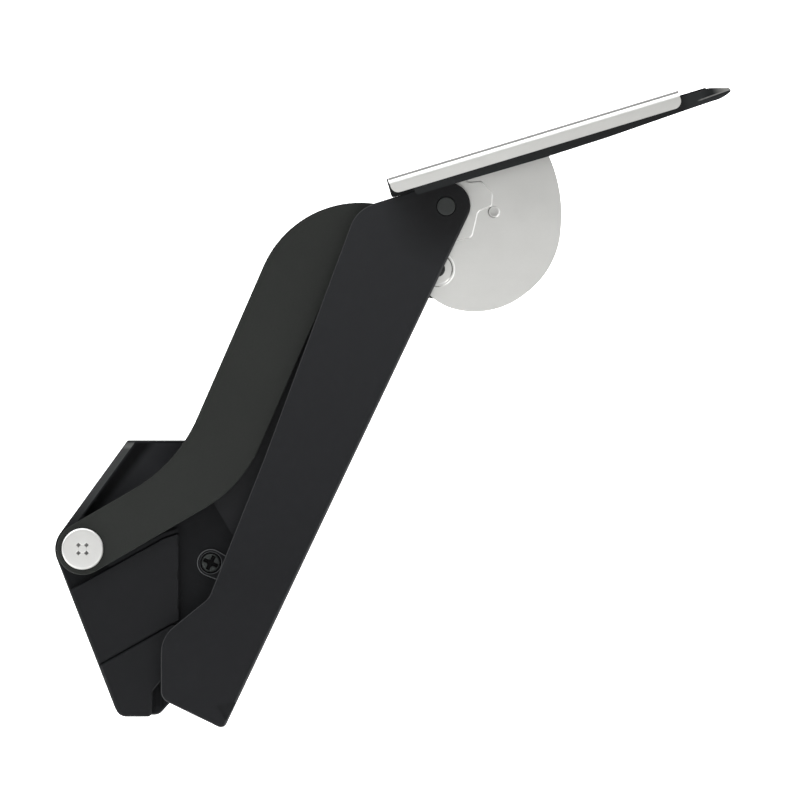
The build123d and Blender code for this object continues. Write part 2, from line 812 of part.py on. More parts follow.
# Damper: cylinder fixed in the housing, rod on the carriage.
damper_right = damper_left + damper_length
with BuildPart() as damper_body:
    with BuildSketch(pack_rod(damper_left, damper_across, pack_height)):
        Circle(damper_radius)
    extrude(amount=damper_length)
    with BuildSketch(pack_rod(damper_left + 3.0, damper_across, pack_height)):
        Circle(damper_radius - damper_wall)
    extrude(amount=damper_length - 5.0, mode=Mode.SUBTRACT)
    with BuildSketch(pack_rod(damper_right - 3.0, damper_across, pack_height)):
        Circle(damper_rod_radius + running)
    extrude(amount=4.0, mode=Mode.SUBTRACT)
damper_body.part.label = "damper_body"

with BuildPart() as damper_rod:
    with BuildSketch(pack_rod(damper_stroke_end, damper_across, pack_height)):
        Circle(damper_rod_radius)
    extrude(amount=-25.0 - damper_stroke_end)
    with BuildSketch(pack_rod(damper_stroke_end - 1.0, damper_across, pack_height)):
        Circle(damper_radius - damper_wall - 0.35)
    extrude(amount=2.0)
damper_rod.part.label = "damper_rod"

# Flap bracket: web on the flap, short near flange, and the big disc that carries both pivots.
disc_left, disc_right = -15.0, 40.6
disc_rim = [
    (42.4, 6.3),
    (42.1, -8.4),
    (38.8, -20.2),
    (32.4, -31.0),
    (19.3, -39.8),
    (6.1, -42.2),
    (-9.0, -37.3),
    (-12.9, -33.9),
    (-15.7, -29.8),
    (-18.6, -23.0),
    (-17.6, -14.0),
]
pad_corners = [
    (9.9, 9.0, 0),
    (10.2, 6.4, 1.2),
    (15.4, 5.4, 1.6),
    (18.2, -0.6, 2.4),
    (16.4, -5.0, 1.2),
    (10.9, -5.4, 2.2),
    (6.0, -14.0, 2.2),
    (-9.0, -13.4, 3.0),
    (-9.0, 9.0, 0),
]
dimple_at = (16.5, -7.2)
with BuildPart() as flap_bracket:
    with BuildSketch(rail_plane(ear_back)):
        with BuildLine():
            Line((disc_left, rail_top), (disc_right, rail_top))
            Line((disc_right, rail_top), disc_rim[0])
            for i in range(0, len(disc_rim) - 1, 2):
                ThreePointArc(disc_rim[i], disc_rim[i + 1], disc_rim[i + 2])
            Line(disc_rim[-1], (disc_left, rail_top))
        make_face()
    extrude(amount=sheet)
    # Raised pad around the upper pivot and raised rings, with sloping sides.
    with BuildSketch(rail_plane(ear_back + sheet)):
        with BuildLine():
            rounded_outline(pad_corners)
        make_face()
    extrude(amount=pad_height, taper=60)
    for place, radius in (((link_u, link_n), 6.8), (dimple_at, 2.3)):
        with BuildSketch(rail_plane(ear_back + sheet)):
            with Locations(place):
                Circle(radius)
        extrude(amount=pad_height, taper=60)
    with BuildSketch(rail_plane(ear_back + sheet)):
        with Locations((link_u, link_n)):
            Circle(5.5)
    extrude(amount=pad_height, taper=-60, mode=Mode.SUBTRACT)
    with BuildSketch(rail_plane(ear_back + sheet - 1.0)):
        with Locations(dimple_at):
            Circle(1.4)
    extrude(amount=2.0, mode=Mode.SUBTRACT)
    with BuildSketch(rail_plane(ear_back)):
        with Locations((link_u, link_n)):
            Circle(link_pin_radius)
        Circle(top_pin + running + 1.0)
    extrude(amount=sheet + 1.0, mode=Mode.SUBTRACT)
    # Web and near flange, bent with a rounded outer edge.
    with BuildSketch(Plane(origin=(top_x, 0, top_z), x_dir=(0, -1, 0), z_dir=heading(rail_tilt + 180)).offset(-rail_right)):
        with BuildLine():
            rounded_outline([
                (ear_back, rail_top - sheet, 0),
                (ear_back, rail_top, 0),
                (rail_front, rail_top, 2.9),
                (rail_front, flange_low, 0),
                (rail_front - 1.5, flange_low, 0),
                (rail_front - 1.5, rail_top - sheet, 1.2),
            ])
        make_face()
    extrude(amount=rail_right - rail_left)
    # Rounded lower corners of the near flange.
    for end, side in ((rail_left, 1), (rail_right, -1)):
        with BuildSketch(rail_plane(rail_front - 3.0)):
            with BuildLine():
                low = flange_low
                round_mid = 3.0 - 3.0 * math.sqrt(0.5)
                ThreePointArc(
                    (end, low + 3.0),
                    (end + side * round_mid, low + round_mid),
                    (end + side * 3.0, low),
                )
                Line((end + side * 3.0, low), (end + side * 3.0, low - 1.0))
                Line((end + side * 3.0, low - 1.0), (end - side, low - 1.0))
                Line((end - side, low - 1.0), (end - side, low + 3.0))
                Line((end - side, low + 3.0), (end, low + 3.0))
            make_face()
        extrude(amount=6.0, mode=Mode.SUBTRACT)
    # Holes for the flap's screws, and slots for the adjusting screws.
    for along in flap_screws:
        with BuildSketch(rail_hole(along, screw_line)):
            Circle(flap_hole)
        extrude(amount=4.0, mode=Mode.SUBTRACT)
    for along in plate_screws:
        with BuildSketch(rail_hole(along, screw_line)):
            SlotOverall(9.0, 4.2)
        extrude(amount=4.0, mode=Mode.SUBTRACT)
flap_bracket.part.label = "flap_bracket"

with BuildPart() as disc_bush:
    with BuildSketch(rail_plane(ear_back)):
        Circle(top_pin + running + 1.0)
        Circle(top_pin + running, mode=Mode.SUBTRACT)
    extrude(amount=sheet + pad_height)
disc_bush.part.label = "disc_bush"

# Pin fixed in the disc; the rear lever's slot rides on it, held by a washer behind.
washer_back = rear_back - 0.7
with BuildPart() as link_pin:
    with BuildSketch(rail_plane(washer_back)):
        with Locations((link_u, link_n)):
            Circle(2.0)
    extrude(amount=0.4)
    with BuildSketch(rail_plane(washer_back + 0.4)):
        with Locations((link_u, link_n)):
            Circle(link_pin_radius)
    extrude(amount=ear_back + sheet + 0.2 - washer_back - 0.4)
link_pin.part.label = "link_pin"

with BuildPart() as link_washer:
    with BuildSketch(rail_plane(washer_back)):
        with Locations((link_u, link_n)):
            Circle(6.0)
            Circle(2.0, mode=Mode.SUBTRACT)
    extrude(amount=0.4)
link_washer.part.label = "link_washer"

# Dark plate inside the bracket's channel, which the flap's screws clamp.
plate_back = near_front + 0.6
plate_front = plate_back + 8.2
plate_low = 8.9
plate_top = rail_top - sheet - 0.05
plate_corners = [
    (rail_left - 0.7, plate_low, 0.8),
    (rail_left - 0.7, rail_top - 0.1, 0),
    (rail_left - 0.1, rail_top - 0.1, 0),
    (rail_left - 0.1, plate_top, 0),
    (rail_right + 0.1, plate_top, 0),
    (rail_right + 0.1, 14.5, 0),
    (105.7, 14.5, 0.4),
    (106.6, 13.5, 0.4),
    (106.6, 10.4, 0.6),
    (84.0, plate_low, 0),
]
with BuildPart() as flap_plate:
    with BuildSketch(rail_plane(plate_back)):
        with BuildLine():
            rounded_outline(plate_corners)
        make_face()
    extrude(amount=plate_front - plate_back)
    for along in flap_screws:
        with BuildSketch(rail_hole(along, screw_line)):
            Circle(flap_hole)
        extrude(amount=12.0, mode=Mode.SUBTRACT)
    for along in plate_screws:
        with BuildSketch(rail_hole(along, screw_line)):
            Circle(2.05)
        extrude(amount=12.0, mode=Mode.SUBTRACT)
        with BuildSketch(rail_hole(along, screw_line).offset(4.3)):
            Circle(3.4)
        extrude(amount=8.0, mode=Mode.SUBTRACT)
    with BuildSketch(rail_plane(plate_front - 4.0)):
        with Locations((release_u, release_n)):
            Circle(release_pin_radius)
    extrude(amount=6.0, mode=Mode.SUBTRACT)
flap_plate.part.label = "flap_plate"

with BuildPart() as plate_screw_pair:
    for along in plate_screws:
        with BuildSketch(rail_hole(along, screw_line).offset(0.2)):
            Circle(2.0)
        extrude(amount=4.2)
        with BuildSketch(rail_hole(along, screw_line).offset(4.35)):
            Circle(3.2)
        extrude(amount=1.7)
        with BuildSketch(rail_hole(along, screw_line).offset(5.05)):
            Rectangle(4.0, 0.9)
            Rectangle(0.9, 4.0)
        extrude(amount=2.0, mode=Mode.SUBTRACT)
plate_screw_pair.part.label = "plate_screws"

# Release lever under the rail, with its finger nose past the rail's end.
release_back = plate_front + 0.5
release_front = rail_front - 2.0
latch_corners = [
    (-9.6, 13.8, 2.2),
    (-9.6, 7.3, 1.0),
    (42.0, 6.8, 0),
    (66.0, 7.2, 60.0),
    (94.5, 8.4, 20.0),
    (107.0, 8.85, 0),
    (107.0, 14.0, 0.3),
    (98.0, 14.0, 0),
]
nose_root = (107.0, 8.85)
nose_top = (107.0, 14.0)
nose_tip = [(113.8, 12.05), (114.7, 11.2), (114.1, 10.1), (110.9, 9.1)]
scoop_radius, scoop_depth = 8.5, 2.6
scoop_u, scoop_low = 109.6, 10.4
with BuildPart() as release_lever:
    with BuildSketch(rail_plane(release_back)):
        with BuildLine():
            rounded_outline(latch_corners)
        make_face()
        with Locations((release_u, release_n)):
            Circle(release_pin_radius + running, mode=Mode.SUBTRACT)
    extrude(amount=release_front - release_back)
    with BuildSketch(rail_plane(plate_back + 1.5)):
        with BuildLine():
            Line(nose_root, nose_top)
            Line(nose_top, nose_tip[0])
            ThreePointArc(nose_tip[0], nose_tip[1], nose_tip[2])
            ThreePointArc(nose_tip[2], nose_tip[3], nose_root)
        make_face()
    extrude(amount=release_front - plate_back - 1.5)
    with BuildSketch(rail_plane(release_back)):
        with Locations((release_u, release_n)):
            Circle(2.4)
    extrude(amount=2.2, mode=Mode.SUBTRACT)
    # Hollow for the fingertip in the nose's front.
    scoop_at = rail_plane(release_front + scoop_radius - scoop_depth).from_local_coords((scoop_u, scoop_low, 0))
    with BuildSketch(Plane(origin=scoop_at, x_dir=heading(rail_tilt), z_dir=heading(rail_tilt + 90))):
        Circle(scoop_radius)
    extrude(amount=6.0, mode=Mode.SUBTRACT)
release_lever.part.label = "release_lever"

with BuildPart() as release_pin:
    with BuildSketch(rail_plane(plate_front - 4.0)):
        with Locations((release_u, release_n)):
            Circle(release_pin_radius)
    extrude(amount=rail_front - 1.7 - plate_front + 4.0)
release_pin.part.label = "release_pin"

with BuildPart() as release_spring:
    turn_centre = rail_plane(plate_front + 0.35).from_local_coords((release_u, release_n, 0))
    with BuildLine() as turn_path:
        Helix(pitch=0.6, height=1.8, radius=1.85, center=turn_centre, direction=(0, -1, 0))
    with BuildSketch(Plane(origin=turn_path.line @ 0, z_dir=turn_path.line % 0)):
        Circle(0.2)
    sweep(path=turn_path.line, is_frenet=True)
release_spring.part.label = "release_spring"

export_step(mounting_plate.part, "parts/mounting_plate.step")
export_step(housing.part, "parts/housing.step")
export_step(spring_cover.part, "parts/spring_cover.step")
export_step(lower_cover.part, "parts/lower_cover.step")
export_step(housing_screw.part, "parts/housing_screw.step")
export_step(pivot_screw.part, "parts/pivot_screw.step")
export_step(shaft_bush.part, "parts/shaft_bush.step")
export_step(stop_buffer.part, "parts/stop_buffer.step")
export_step(front_lever.part, "parts/front_lever.step")
export_step(lever_shaft.part, "parts/lever_shaft.step")
export_step(shaft_ring.part, "parts/shaft_ring.step")
export_step(crank_pin.part, "parts/crank_pin.step")
export_step(crank_roller.part, "parts/crank_roller.step")
export_step(top_rivet.part, "parts/top_rivet.step")
export_step(rivet_sleeve.part, "parts/rivet_sleeve.step")
export_step(rear_lever.part, "parts/rear_lever.step")
export_step(rear_bush.part, "parts/rear_bush.step")
export_step(carriage.part, "parts/carriage.step")
export_step(spring_guides.part, "parts/spring_guides.step")
export_step(springs.part, "parts/springs.step")
export_step(spring_seat.part, "parts/spring_seat.step")
export_step(tension_screw.part, "parts/tension_screw.step")
export_step(damper_body.part, "parts/damper_body.step")
export_step(damper_rod.part, "parts/damper_rod.step")
export_step(flap_bracket.part, "parts/flap_bracket.step")
export_step(disc_bush.part, "parts/disc_bush.step")
export_step(link_pin.part, "parts/link_pin.step")
export_step(link_washer.part, "parts/link_washer.step")
export_step(flap_plate.part, "parts/flap_plate.step")
export_step(plate_screw_pair.part, "parts/plate_screws.step")
export_step(release_lever.part, "parts/release_lever.step")
export_step(release_pin.part, "parts/release_pin.step")
export_step(release_spring.part, "parts/release_spring.step")
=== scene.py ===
import math

import bmesh
import bpy
from mathutils import Matrix, Vector


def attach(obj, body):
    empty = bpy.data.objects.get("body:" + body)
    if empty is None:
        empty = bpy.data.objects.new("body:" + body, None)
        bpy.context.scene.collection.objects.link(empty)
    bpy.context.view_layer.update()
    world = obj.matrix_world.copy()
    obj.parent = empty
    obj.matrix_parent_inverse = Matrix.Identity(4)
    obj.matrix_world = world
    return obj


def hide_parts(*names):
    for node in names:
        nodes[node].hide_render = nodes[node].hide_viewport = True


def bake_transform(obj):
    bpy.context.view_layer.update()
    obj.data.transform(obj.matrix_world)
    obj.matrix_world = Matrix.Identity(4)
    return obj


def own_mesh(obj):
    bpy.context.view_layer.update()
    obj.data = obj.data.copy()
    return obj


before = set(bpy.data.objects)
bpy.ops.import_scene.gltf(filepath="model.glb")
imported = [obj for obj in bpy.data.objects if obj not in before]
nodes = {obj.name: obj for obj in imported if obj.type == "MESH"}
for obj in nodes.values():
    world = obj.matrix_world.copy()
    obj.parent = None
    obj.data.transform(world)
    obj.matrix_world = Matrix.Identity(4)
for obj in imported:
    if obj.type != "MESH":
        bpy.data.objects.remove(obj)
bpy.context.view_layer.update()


# Mounting plate: pressed steel sheet, zinc plated, that lies flat on the cabinet's side panel.
# It was blanked and plated in bulk, so it has a fine satin bloom and no direction of grain.
def linear(hex_colour):
    channels = [int(hex_colour[i : i + 2], 16) / 255 for i in (1, 3, 5)]
    return [c / 12.92 if c <= 0.04045 else ((c + 0.055) / 1.055) ** 2.4 for c in channels] + [1.0]


def add(tree, kind, sockets=None, **settings):
    # A value may be an output to link from, or a node, which links its first output in use.
    made = tree.nodes.new(kind)
    for name, value in settings.items():
        setattr(made, name, value)
    for name, value in (sockets or {}).items():
        if isinstance(value, bpy.types.Node):
            value = next(output for output in value.outputs if output.enabled)
        if isinstance(value, bpy.types.NodeSocket):
            tree.links.new(value, made.inputs[name])
        else:
            made.inputs[name].default_value = value
    return made


def blank_finish(name):
    finish = bpy.data.materials.new(name)
    finish.use_nodes = True
    finish.node_tree.nodes.clear()
    return finish, finish.node_tree, add(finish.node_tree, "ShaderNodeTexCoord")


def metal(name, dark, light, roughness, bloom_mm,
          metallic=1.0, specular=0.5, relief=0.08, rolled_mm=None, turned_at=None):
    # Plated or turned metal: a slow bloom in its colour over a fine speckle, lines from rolling
    # along the rail, or rings from the lathe round the axis turned_at.
    speckle_mm, rolling_turn, line_scale = 0.35, math.radians(-16.8), 30.0
    # The real rings are finer than a pixel, so they are drawn coarser.
    ring_gap, gap_at_scale_1 = 0.00045, 0.314
    finish, tree, place = blank_finish(name)
    here = place.outputs["Object"]
    bloom = add(tree, "ShaderNodeTexNoise", {
        "Vector": here, "Scale": 1000 / bloom_mm, "Detail": 4.0, "Roughness": 0.6,
    })
    colour = add(tree, "ShaderNodeMix", {
        "Factor": bloom, 6: linear(dark), 7: linear(light),
    }, data_type="RGBA")
    if turned_at:
        centred = add(tree, "ShaderNodeMapping", {
            "Vector": here, "Location": (-turned_at[0] / 1000, 0.0, -turned_at[1] / 1000),
        })
        grain = add(tree, "ShaderNodeTexWave", {
            "Vector": centred, "Scale": gap_at_scale_1 / ring_gap,
            "Distortion": 0.6, "Detail": 2.0,
        }, wave_type="RINGS", rings_direction="Y")
    elif rolled_mm:
        stretched = add(tree, "ShaderNodeMapping", {
            "Vector": here, "Rotation": (0.0, rolling_turn, 0.0),
            "Scale": (line_scale, 1000 / rolled_mm, 1000 / rolled_mm),
        })
        grain = add(tree, "ShaderNodeTexNoise", {
            "Vector": stretched, "Scale": 1.0, "Detail": 3.0,
        })
    else:
        grain = add(tree, "ShaderNodeTexNoise", {
            "Vector": here, "Scale": 1000 / speckle_mm, "Detail": 2.0,
        })
    height = grain.outputs["Fac"]
    rough = add(tree, "ShaderNodeMapRange", {
        "Value": height, "From Min": 0.3, "From Max": 0.7,
        "To Min": roughness * 0.88, "To Max": roughness * 1.15,
    })
    bump = add(tree, "ShaderNodeBump", {
        "Height": height, "Strength": relief, "Distance": 0.00002,
    })
    shader = add(tree, "ShaderNodeBsdfPrincipled", {
        "Base Color": colour, "Metallic": metallic, "Roughness": rough,
        "Specular IOR Level": specular, "Normal": bump,
    })
    add(tree, "ShaderNodeOutputMaterial", {"Surface": shader})
    return finish, tree, place, colour, shader


def dress(node_name, finish):
    for slot in nodes[node_name].material_slots:
        slot.material = finish


zinc_plate = metal("zinc_plated_sheet", "#808385", "#A2A5A7", roughness=0.38, bloom_mm=3.0)[0]
dress("mounting_plate", zinc_plate)


# Housing: one moulded case of glass-filled nylon with the levers' bearings in it.
# The mould was spark eroded, so its skin is an even fine grain; its rims get a painted highlight.
def dark_skin(name, deep, pale, painted_highlight, roughness, grain_mm, relief, specular):
    # Black moulding or powder coat: two near tones that drift over the piece, a fine grain or
    # peel, and a painted highlight on bevels and folds, found from their lean.
    drift_mm, rough_spread = 40.0, 0.05
    finish, tree, place = blank_finish(name)
    here = place.outputs["Object"]
    grain = add(tree, "ShaderNodeTexNoise", {
        "Vector": here, "Scale": 1000 / grain_mm, "Detail": 3.0, "Roughness": 0.5,
    })
    drift = add(tree, "ShaderNodeTexNoise", {
        "Vector": here, "Scale": 1000 / drift_mm, "Detail": 1.5,
    })
    body = add(tree, "ShaderNodeMix", {
        "Factor": drift, 6: linear(deep), 7: linear(pale),
    }, data_type="RGBA")
    lean = add(tree, "ShaderNodeSeparateXYZ", {"Vector": place.outputs["Normal"]})
    facing = add(tree, "ShaderNodeMath", {0: lean.outputs["Y"]}, operation="ABSOLUTE")
    off_face = add(tree, "ShaderNodeMapRange", {
        "Value": facing, "From Min": 0.975, "From Max": 0.88,
    })
    off_side = add(tree, "ShaderNodeMapRange", {
        "Value": facing, "From Min": 0.3, "From Max": 0.5,
    })
    bevel = add(tree, "ShaderNodeMath", {0: off_face, 1: off_side}, operation="MULTIPLY")
    # The bevels get a painted highlight in the given colour.
    tone = add(tree, "ShaderNodeMix", {
        "Factor": bevel, 6: body, 7: linear(painted_highlight),
    }, data_type="RGBA")
    rough = add(tree, "ShaderNodeMapRange", {
        "Value": grain, "From Min": 0.3, "From Max": 0.7,
        "To Min": roughness - rough_spread, "To Max": roughness + rough_spread,
    })
    bump = add(tree, "ShaderNodeBump", {
        "Height": grain, "Strength": relief, "Distance": 0.00004,
    })
    shader = add(tree, "ShaderNodeBsdfPrincipled", {
        "Base Color": tone, "Roughness": rough, "IOR": 1.5,
        "Specular IOR Level": specular, "Normal": bump,
    })
    add(tree, "ShaderNodeOutputMaterial", {"Surface": shader})
    return finish, tree, place, facing, bevel, tone, shader


case_skin, tree, place, _, bevel, tone, shader = dark_skin(
    "glass_filled_nylon", "#0E0F11", "#121315", "#2A2B2C",
    roughness=0.5, grain_mm=0.45, relief=0.25, specular=0.1)
here = place.outputs["Object"]
spot = add(tree, "ShaderNodeSeparateXYZ", {"Vector": here})
# The tray is the part of the case above a line that climbs 0.55 mm for each 1 mm to the right.
side = add(tree, "ShaderNodeMath", {
    0: spot.outputs["X"], 1: -0.55, 2: spot.outputs["Z"],
}, operation="MULTIPLY_ADD")
in_tray = add(tree, "ShaderNodeMapRange", {"Value": side, "From Min": -0.006, "From Max": 0.002})
# Its floor is painted paler from a few millimetres in from its slanting wall, which leaves a
# painted shadow of the wall along it.
wall_top, wall_faces = (0.01856, 0.0, 0.0386), (0.788, 0.0, -0.616)
from_top = add(tree, "ShaderNodeVectorMath", {0: here, 1: wall_top}, operation="SUBTRACT")
from_wall = add(tree, "ShaderNodeVectorMath", {0: from_top, 1: wall_faces}, operation="DOT_PRODUCT")
past_wall_shadow = add(tree, "ShaderNodeMapRange", {
    "Value": from_wall, "From Min": 0.0034, "From Max": 0.0072,
}, interpolation_type="SMOOTHSTEP")
deep_down = add(tree, "ShaderNodeMapRange", {
    "Value": spot.outputs["Y"], "From Min": -0.0125, "From Max": -0.007,
})
on_floor = add(tree, "ShaderNodeMath", {0: in_tray, 1: deep_down}, operation="MULTIPLY")
lit_floor = add(tree, "ShaderNodeMath", {0: on_floor, 1: past_wall_shadow}, operation="MULTIPLY")
floor_lit_tone = add(tree, "ShaderNodeMix", {
    "Factor": lit_floor, 6: tone, 7: linear("#393A3D"),
}, data_type="RGBA")
# The rim over that wall gets a painted grey highlight, brightest at its upper corner.
rim_height = 0.041
up_the_rim = add(tree, "ShaderNodeMapRange", {
    "Value": spot.outputs["Z"], "From Min": 0.0, "From Max": rim_height,
})
rim_highlight = add(tree, "ShaderNodeValToRGB", {"Fac": up_the_rim})
stops = rim_highlight.color_ramp.elements
for at, hex_colour in (
    (0.52, "#323334"), (0.91, "#363737"), (0.935, "#525352"), (0.965, "#4A4B4A"),
    (0.975, "#2A2B2C"),
):
    stops.new(at).color = linear(hex_colour)
stops[0].position, stops[0].color = 0.22, linear("#131416")
stops[-1].color = linear("#2E2F30")
on_rim = add(tree, "ShaderNodeMath", {0: bevel, 1: in_tray}, operation="MULTIPLY")
rim_tone = add(tree, "ShaderNodeMix", {
    "Factor": on_rim, 6: floor_lit_tone, 7: rim_highlight,
}, data_type="RGBA")
# The edge of the screw's boss gets a painted highlight too.
boss_at = (0.0481, -0.016, -0.0052)
from_boss = add(tree, "ShaderNodeVectorMath", {0: here, 1: boss_at}, operation="DISTANCE")
by_boss = add(tree, "ShaderNodeMapRange", {
    "Value": from_boss, "From Min": 0.0085, "From Max": 0.0075,
})
boss_edge = add(tree, "ShaderNodeMath", {0: by_boss, 1: bevel}, operation="MULTIPLY")
boss_highlight = add(tree, "ShaderNodeMix", {
    "Factor": boss_edge, 6: rim_tone, 7: linear("#4E5051"),
}, data_type="RGBA")
tree.links.new(boss_highlight.outputs[2], shader.inputs["Base Color"])
dress("housing", case_skin)

# Covers: thin clip-on mouldings in ABS over the spring pack, a shade lighter than the case.
# They are bare, with a finer grain than the case, and leave a narrow shadow joint between them.
# Its third colour is a painted highlight on the bevels.
cover_skin = dark_skin(
    "moulded_abs", "#101113", "#141517", "#121315",
    roughness=0.48, grain_mm=0.3, relief=0.2, specular=0.14)[0]
dress("spring_cover", cover_skin)
dress("lower_cover", cover_skin)


# Housing screw: a black oxide machine screw with a cross recess, in a counterbored boss.
# The head is cold formed and the recess punched, so its walls slope and its corners are soft.
def turned_head(name, rings, centre_height, steps=120):
    # Rings of (radius, height above the panel) in mm, from the axis outwards and down.
    # A height may also be a function of the place on the ring.
    points = [(0.0, 0.0, centre_height / 1000)]
    for radius, height in rings:
        for i in range(steps):
            turn = 2 * math.pi * i / steps
            x, y = radius * math.cos(turn), radius * math.sin(turn)
            z = height(x, y) if callable(height) else height
            points.append((x / 1000, y / 1000, z / 1000))
    faces = [(0, 1 + i, 1 + (i + 1) % steps) for i in range(steps)]
    for k in range(len(rings) - 1):
        inner, outer = 1 + k * steps, 1 + (k + 1) * steps
        for i in range(steps):
            j = (i + 1) % steps
            faces.append((inner + i, outer + i, outer + j, inner + j))
    last = 1 + (len(rings) - 1) * steps
    faces.append([last + i for i in reversed(range(steps))])
    mesh = bpy.data.meshes.new(name)
    mesh.from_pydata(points, [], faces)
    mesh.polygons.foreach_set("use_smooth", [True] * len(mesh.polygons))
    mesh.set_sharp_from_angle(angle=math.radians(38))
    return mesh


def soft_step(value, start, end):
    t = min(1.0, max(0.0, (value - start) / (end - start)))
    return t * t * (3 - 2 * t)


def place_piece(mesh, name, body, stands_for, at=(0.0, 0.0)):
    # The axis is turned to point out of the panel, and the piece is put at its place in the mesh.
    move = Matrix.Translation((at[0] / 1000, 0, at[1] / 1000))
    mesh.transform(move @ Matrix.Rotation(math.pi / 2, 4, "X"))
    piece = bpy.data.objects.new(name, mesh)
    bpy.context.scene.collection.objects.link(piece)
    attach(piece, body)
    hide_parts(stands_for)


black_at = (48.1, -5.2)
arm_width, arm_reach, arm_turn, heart_reach = 1.35, 2.85, math.radians(-26.5), 1.9
head_top, head_low, head_radius, recess_depth = 16.75, 15.05, 3.5, 1.15
shank_radius, shank_end = 1.95, 0.2


def black_front(x, y):
    a = abs(x * math.cos(arm_turn) + y * math.sin(arm_turn))
    b = abs(y * math.cos(arm_turn) - x * math.sin(arm_turn))
    arms = max(min(a, b) - arm_width / 2, max(a, b) - arm_reach)
    heart = a + b - heart_reach
    return head_top - recess_depth * (1 - soft_step(min(arms, heart), -0.14, 0.1))


rings = [(0.12 * i, black_front) for i in range(1, 25)]
rings += [
    (2.98, head_top - 0.01), (3.14, head_top - 0.07), (3.3, head_top - 0.2),
    (3.42, head_top - 0.4), (head_radius, head_top - 0.7), (head_radius, head_low),
    (shank_radius, head_low), (shank_radius, 0.5), (1.65, shank_end),
]
black_screw = turned_head("cross_recess_screw", rings, head_top - recess_depth)
black_oxide, tree, place, colour, shader = metal(
    "black_oxide_steel", "#2C2F2E", "#363938", roughness=0.4, bloom_mm=1.2,
    metallic=0.35, specular=0.12, turned_at=black_at)
# The recess is painted near black, as painted shade.
down = add(tree, "ShaderNodeSeparateXYZ", {"Vector": place.outputs["Object"]})
hollow = add(tree, "ShaderNodeMapRange", {
    "Value": down.outputs["Y"], "From Min": -0.01665, "From Max": -0.0163,
})
recess_shade = add(tree, "ShaderNodeMix", {
    "Factor": hollow, 6: colour, 7: linear("#020202"),
}, data_type="RGBA")
tree.links.new(recess_shade.outputs[2], shader.inputs["Base Color"])
black_screw.materials.append(black_oxide)
place_piece(
    black_screw, "cross_recess_screw", "housing_body", "housing_screw", black_at)

# Pivot screw: a bright nickel-plated shoulder screw on which the rear lever turns.
# Its large flat head is faced on the lathe, with four small sunk driver pits joined by scores.
pit_at, pit_half, pit_depth = 1.5, 1.05, 0.3
score_half, score_depth = 0.12, 0.06
face_top, face_radius, face_low, shoulder_radius, shoulder_low = 23.7, 7.8, 21.9, 4.0, 18.1


def bright_front(x, y):
    off_x, off_y = abs(abs(x) - pit_at), abs(abs(y) - pit_at)
    pit = off_x + off_y - pit_half
    score = max(min(off_x, off_y) - score_half, max(abs(x), abs(y)) - pit_at - 0.1)
    sunk = pit_depth * (1 - soft_step(pit, -0.4, 0.06))
    return face_top - sunk - score_depth * (1 - soft_step(score, -0.05, 0.06))


rings = [(0.12 * i, bright_front) for i in range(1, 27)]
rings += [
    (4.0, face_top), (6.9, face_top), (7.2, face_top - 0.01), (7.42, face_top - 0.07),
    (7.62, face_top - 0.2), (7.75, face_top - 0.38), (face_radius, face_top - 0.6),
    (face_radius, 22.1), (7.6, face_low), (shoulder_radius, face_low),
    (shoulder_radius, shoulder_low), (3.0, shoulder_low), (3.0, 4.0), (2.6, 3.5),
]
bright_screw = turned_head("shoulder_screw", rings, face_top, steps=144)
nickel_face, tree, place, colour, shader = metal(
    "faced_nickel_steel", "#C9C9C7", "#D0D0CE", roughness=0.34, bloom_mm=4.0,
    metallic=0.7, relief=0.02, turned_at=(0.0, 0.0))
here = place.outputs["Object"]
# The driver pits are painted dark grey, as painted shade.
down = add(tree, "ShaderNodeSeparateXYZ", {"Vector": here})
sunk = add(tree, "ShaderNodeMapRange", {
    "Value": down.outputs["Y"], "From Min": -0.02368, "From Max": -0.0234,
})
flat = add(tree, "ShaderNodeVectorMath", {0: here, 1: (1.0, 0.0, 1.0)}, operation="MULTIPLY")
off_axis = add(tree, "ShaderNodeVectorMath", {0: flat}, operation="LENGTH")
near = add(tree, "ShaderNodeMapRange", {"Value": off_axis, "From Min": 0.0045, "From Max": 0.004})
in_pit = add(tree, "ShaderNodeMath", {0: sunk, 1: near}, operation="MULTIPLY")
pit_shade = add(tree, "ShaderNodeMix", {
    "Factor": in_pit, 6: colour, 7: linear("#5C5C5B"),
}, data_type="RGBA")
# The head's edge gets painted shade where it looks down and to the right, and a painted white
# highlight where it looks up.
look = place.outputs["Normal"]
down_right = add(tree, "ShaderNodeVectorMath", {
    0: look, 1: (0.6, 0.0, -0.8),
}, operation="DOT_PRODUCT")
thin = add(tree, "ShaderNodeMapRange", {"Value": down_right, "From Min": 0.1, "From Max": 0.35})
outside = add(tree, "ShaderNodeMath", {0: thin, 1: near}, operation="SUBTRACT", use_clamp=True)
head_edge_shade = add(tree, "ShaderNodeMix", {
    "Factor": outside, 6: pit_shade, 7: linear("#A6A6A4"),
}, data_type="RGBA")
up = add(tree, "ShaderNodeSeparateXYZ", {"Vector": look})
looks_up = add(tree, "ShaderNodeMapRange", {
    "Value": up.outputs["Z"], "From Min": 0.1, "From Max": 0.3,
})
top_arc = add(tree, "ShaderNodeMath", {0: looks_up, 1: near}, operation="SUBTRACT", use_clamp=True)
arc_highlight = add(tree, "ShaderNodeMix", {
    "Factor": top_arc, 6: head_edge_shade, 7: linear("#FFFFFF"),
}, data_type="RGBA")
tree.links.new(arc_highlight.outputs[2], shader.inputs["Base Color"])
bright_screw.materials.append(nickel_face)
place_piece(bright_screw, "shoulder_screw", "housing_body", "pivot_screw")

# Rubber stop: a black nitrile button pressed into the case, where the front lever rests when open.
# Moulded rubber is dull and slightly dusty, with no gloss at all.
# Its third colour is a faint painted highlight on the bevels.
rubber = dark_skin(
    "nitrile_rubber", "#141414", "#1C1C1B", "#242423",
    roughness=0.85, grain_mm=0.25, relief=0.3, specular=0.1)[0]
dress("stop_buffer", rubber)

